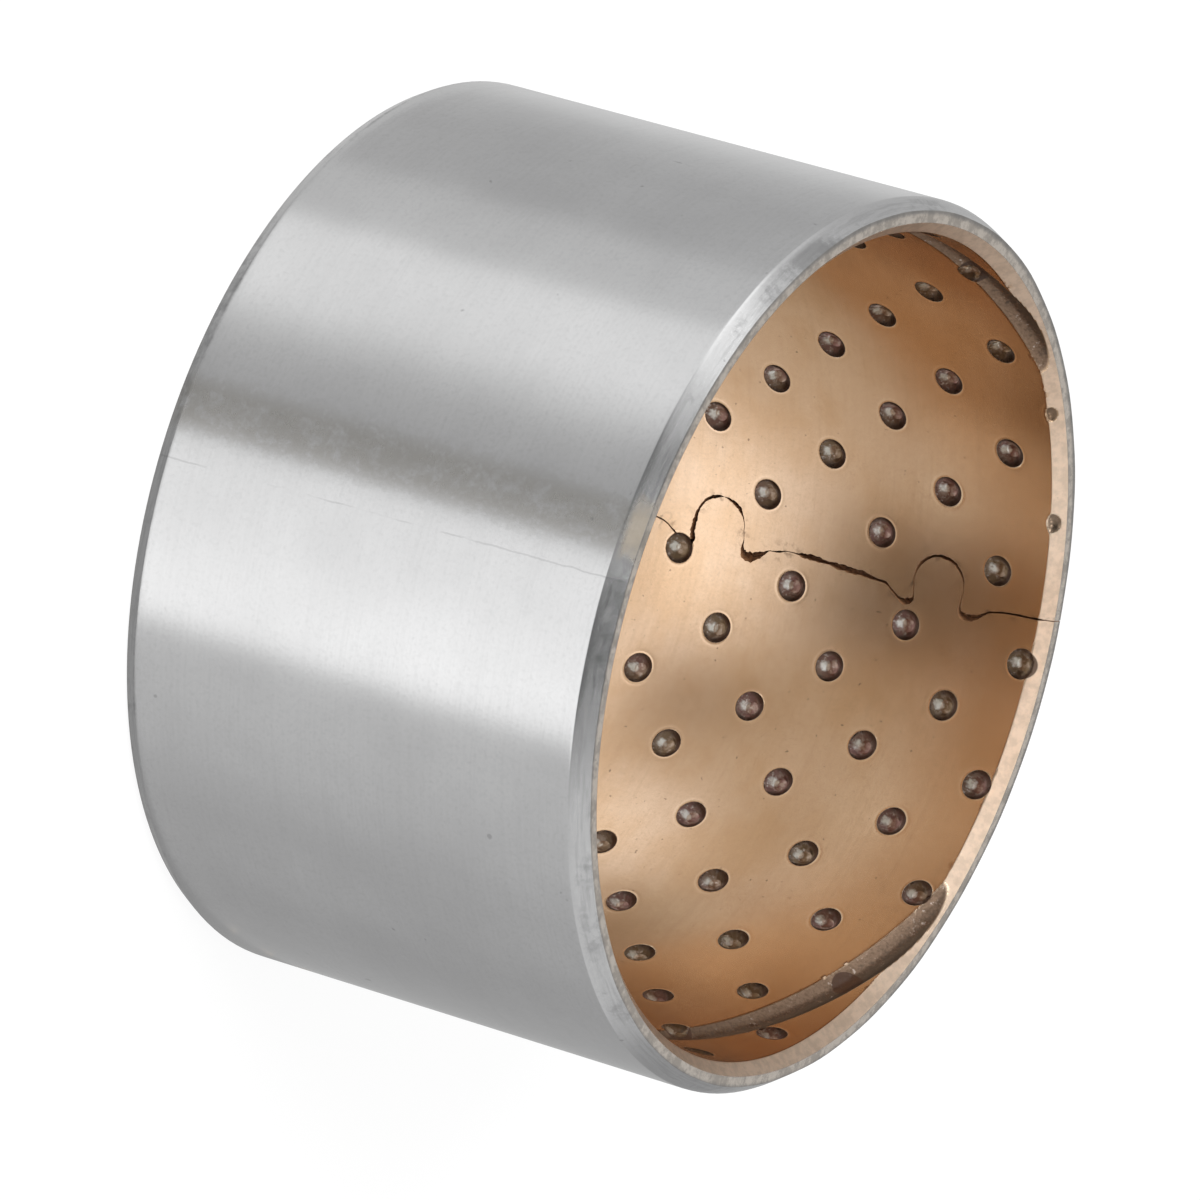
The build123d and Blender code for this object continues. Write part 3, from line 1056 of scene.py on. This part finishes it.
class BUSH_OT_fills(bpy.types.Operator):
    """Make the graphite in the pockets: a hollow, grainy button in each"""

    bl_idname = "bush.fills"
    bl_label = "Graphite fills"

    def execute(self, context):
        """Each button is a profile of reach and depth carried round the pocket's middle: a
        top that follows the dent, a little above it in the middle and passing into the
        bronze at the edge, and a cone from there to a tip inside the bronze."""
        b = bush()
        places = pocket_places(b)
        places = places[is_filled(b, places)]
        middle, up = places[:, 0, None, None], places[:, 1, None, None]
        half, clear, edge, sunk = b.pocket.width / 2, 0.02, 0.955, 0.05
        share = np.array([0, 0.35, 0.62, 0.84, 0.99, 0])
        around = np.radians(np.arange(0, 360, 22.5))
        run = middle + half * np.outer(share, np.cos(around))
        height = np.clip(up + half * np.outer(share, np.sin(around)), clear, b.length - clear)

        def top(run, height):
            """The fill's top: the dent, less a parabola that ends near its edge, and never
            above the groove or a chamfer."""
            aside = np.hypot(run - middle, height - up)
            depth = ball_dent(b, aside) - b.pocket.fill_depth * (1 - (aside / half / edge) ** 2)
            over = np.maximum(groove_depth(b, run, height), chamfer_depth(b, height)) + sunk
            return np.maximum(depth, over)

        depth = top(run, height)
        normal = -sheet_normals(run, height, b.bore_radius, top, NUDGE).reshape(-1, 3)
        depth[:, -1] += 0.2 + b.pocket.fill_depth
        flat = np.column_stack([run.ravel(), height.ravel()])
        points = rolled(flat, b.bore_radius, depth.ravel())

        spokes, rings = len(around), len(share)
        start = (np.arange(len(places)) * rings * spokes)[:, None, None]
        quads = lattice(rings - 2, spokes) + spokes
        hub = fan(0, spokes, spokes)[:, [0, 2, 1]]
        under = fan((rings - 1) * spokes, (rings - 2) * spokes, spokes)
        quads, hub, under = (
            (kind + start).reshape(-1, kind.shape[1]) for kind in (quads, hub, under))
        corners = np.r_[quads.ravel(), hub.ravel(), under.ravel()]
        used, fresh = np.unique(corners, return_inverse=True)
        faces = [*fresh[:quads.size].reshape(-1, 4), *fresh[quads.size:].reshape(-1, 3)]
        normals = normal[corners]
        normals[quads.size + hub.size:] = 0
        piece = mesh_piece("graphite_fills", points[used], faces, normals)
        for name, values in (("share", np.ones(spokes)), ("aside", np.sin(around))):
            add_mark(piece, name, np.tile(np.outer(share, values).ravel(), len(places))[used])
        dress(piece, "graphite_plugs", "graphite", graphite_finish())
        return {"FINISHED"}


class BUSH_OT_stage(bpy.types.Operator):
    """Make the stage: pale floor, reflection cards, soft light and camera"""

    bl_idname = "bush.stage"
    bl_label = "Stage"

    def execute(self, context):
        scene = context.scene
        scene.view_settings.view_transform = "Standard"
        self.floor(scene.bush_studio)
        self.cards()
        self.tray()
        self.shade_ring()
        self.light(scene.bush_studio)
        self.camera()
        return {"FINISHED"}

    @staticmethod
    def seen(n):
        """1 for rays from the camera, and for those that polished and clear things send."""
        path = n.add("ShaderNodeLightPath", {}, {}).outputs
        camera, glossy, clear = (
            Term(n, path[f"Is {kind} Ray"]) for kind in ("Camera", "Glossy", "Transmission"))
        return camera.larger(glossy).larger(clear)

    def floor(self, studio):
        """A round floor, with points at a radius and a turn."""
        reach = np.array([0, 0.05, 0.12, 0.3, 0.8, 2.0, 5.0]) / MM
        turn = np.radians(np.arange(0, 360, 5.0))
        under, spokes = -0.02, len(turn)
        points = ring_points(reach, turn, under)[spokes - 1:]
        quads = lattice(len(reach) - 1, spokes)[:, TURNED] + 1
        floor = mesh_piece("floor", points, [*quads, *fan(0, 1, spokes)])
        n = Recipe(bpy.data.materials.new("pale_floor"))
        dull = n.get("ShaderNodeBsdfDiffuse", 0, {}, {"Color": (*studio.floor, 1.0)})
        glow = n.get("ShaderNodeEmission", 0, {}, {"Color": (1, 1, 1, 1), "Strength": 1.05})
        share = self.seen(n) * (1 - studio.shade)
        floor.data.materials.append(
            n.finish("ShaderNodeMixShader", {0: share, 1: dull, 2: glow}))
        floor.visible_glossy = floor.visible_shadow = False

    def cards(self):
        """A dome of cards round the bush that only polished surfaces see."""
        azimuth, elevation, reach = np.arange(0, 360, 1.0), np.arange(-88, 89, 2.0), 1300
        level = dome_level(azimuth[None, :], elevation[:, None])
        turn, lift = np.radians(azimuth), np.radians(elevation)[:, None]
        grid = reach * np.stack(np.broadcast_arrays(
            np.cos(lift) * np.cos(turn), np.cos(lift) * np.sin(turn), np.sin(lift)), -1)
        points = np.vstack([grid.reshape(-1, 3), (0, 0, -reach), (0, 0, reach)])
        level = np.r_[level.ravel(), level[0].mean(), level[-1].mean()]
        rows, columns = len(elevation), len(turn)
        pole = rows * columns
        walls = lattice(rows, columns)[:, [1, 0, 3, 2]]
        bottom = fan(pole, 0, columns)[:, [1, 2, 0]]
        top = fan(pole + 1, pole - columns, columns)[:, ::-1]
        self.glow("studio_cards", points, [*walls, *bottom, *top], np.outer(level, (1, 1, 1)))

    def tray(self):
        """A tray of cards under the bush, seen only through it: the grid of places on the
        bore, each carried along its mirrored line of sight down to the tray."""
        b = bush()
        turn = np.radians(np.arange(-74, 75, 2.0))[:, None]
        height = np.arange(-2, 36, 1.0)[None, :]
        inward = np.stack(np.broadcast_arrays(-np.cos(turn), -np.sin(turn), 0 * height), -1)
        place = height[..., None] * (0, 0, 1) - b.bore_radius * inward
        sight = place - np.array(CAMERA_PLACE) / MM
        sight /= np.linalg.norm(sight, axis=2)[..., None]
        mirrored = sight - 2 * (sight * inward).sum(2)[..., None] * inward
        below, reach = -4, 38
        drop = (below - place[..., 2]) / mirrored[..., 2]
        grid = (place + drop[..., None] * mirrored).reshape(-1, 3)
        quads = lattice(turn.size, height.size, closed=False)
        quads = quads[(np.linalg.norm(grid[:, :2], axis=1) < reach)[quads].all(1)]
        used, fresh = np.unique(quads, return_inverse=True)
        level = bore_level(np.degrees(turn), height).ravel()[used]
        self.glow("studio_tray", grid[used], [*fresh.reshape(quads.shape)], bounced(level))

    def shade_ring(self):
        """A dark ring just under the lower end, which its chamfer mirrors."""
        turn = np.radians(np.arange(0, 360, 5.0))
        level = 0.38 + 0.3 * soft_step(1.5 - np.abs(turn - np.radians(85)))
        self.glow("shade_ring", ring_points((31.0, 34.5), turn, -0.5),
                  [*lattice(2, len(turn))[:, TURNED]], np.outer(np.tile(level, 2), (1, 1, 1)))

    @staticmethod
    def glow(name, points, faces, light):
        """A card that shines with the light at its points and shows in reflections only."""
        card = mesh_piece(name, points, faces)
        add_mark(card, "light", np.column_stack([light, np.ones(len(light))]))
        n = Recipe(bpy.data.materials.new(name + "_glow"))
        card.data.materials.append(n.finish(
            "ShaderNodeEmission", {"Color": n.mark("light", "Color"), "Strength": 1.0}))
        for kind in ("camera", "diffuse", "transmission", "shadow", "volume_scatter"):
            setattr(card, "visible_" + kind, False)

    def light(self, studio):
        """An even sky for dull surfaces, white where it is seen, and one soft box."""
        n = Recipe(bpy.data.worlds.new("studio"))
        level = n.mix(self.seen(n), (*[studio.sky] * 3, 1.0), (1, 1, 1, 1))
        bpy.context.scene.world = n.finish(
            "ShaderNodeBackground", {"Color": level, "Strength": 1.0}, "ShaderNodeOutputWorld")
        lamp = bpy.data.lights.new("soft_box", "AREA")
        lamp.energy, lamp.size = studio.lamp, 0.5
        place = np.array([-0.35, 0.45, 0.6])
        back = place / np.linalg.norm(place)
        right = np.cross((0, 0, 1), back)
        right /= np.linalg.norm(right)
        box = self.put("soft_box", lamp, place, right, np.cross(back, right), back)
        box.visible_glossy = False

    def camera(self):
        """Looks down into the upper end, rolled so that the axis points right and down."""
        eye = bpy.data.cameras.new("camera")
        eye.sensor_fit, eye.sensor_width, eye.lens = "HORIZONTAL", 36.0, 355.82
        eye.clip_start, eye.clip_end = 0.05, 20.0
        bpy.context.scene.camera = self.put(
            "camera", eye, CAMERA_PLACE, (0.520838, 0.177802, 0.834934),
            (0.059217, 0.968187, -0.243119), (-0.851599, 0.176068, 0.493740))

    @staticmethod
    def put(name, data, place, right, up, back):
        """A lamp or camera at a place, turned by the directions of its own three axes."""
        thing = bpy.data.objects.new(name, data)
        turn = Matrix(np.column_stack([right, up, back]).tolist())
        thing.matrix_world = Matrix.Translation(tuple(place)) @ turn.to_4x4()
        bpy.context.scene.collection.objects.link(thing)
        return thing


OPERATORS = (BUSH_OT_backing, BUSH_OT_lining, BUSH_OT_fills, BUSH_OT_stage)


class BUSH_PT_panel(bpy.types.Panel):
    """Sizes, colours and pieces of the bush"""

    bl_idname = "BUSH_PT_panel"
    bl_label = "Bush"
    bl_space_type = "VIEW_3D"
    bl_region_type = "UI"
    bl_category = "Bush"

    def draw(self, context):
        for name in GROUPS:
            group = getattr(context.scene, name)
            box = self.layout.box()
            for prop in group.bl_rna.properties:
                if prop.type == "FLOAT":
                    box.prop(group, prop.identifier)
        for operator in OPERATORS:
            self.layout.operator(operator.bl_idname)


def register():
    for kind in (*GROUPS.values(), *OPERATORS, BUSH_PT_panel):
        bpy.utils.register_class(kind)
    for name, group in GROUPS.items():
        setattr(bpy.types.Scene, name, PointerProperty(type=group))


def unregister():
    for name in GROUPS:
        delattr(bpy.types.Scene, name)
    for kind in reversed((*GROUPS.values(), *OPERATORS, BUSH_PT_panel)):
        bpy.utils.unregister_class(kind)


def main():
    register()
    bpy.ops.bush.backing()
    bpy.ops.bush.lining()
    bpy.ops.bush.fills()
    bpy.ops.bush.stage()


if __name__ == "__main__":
    main()
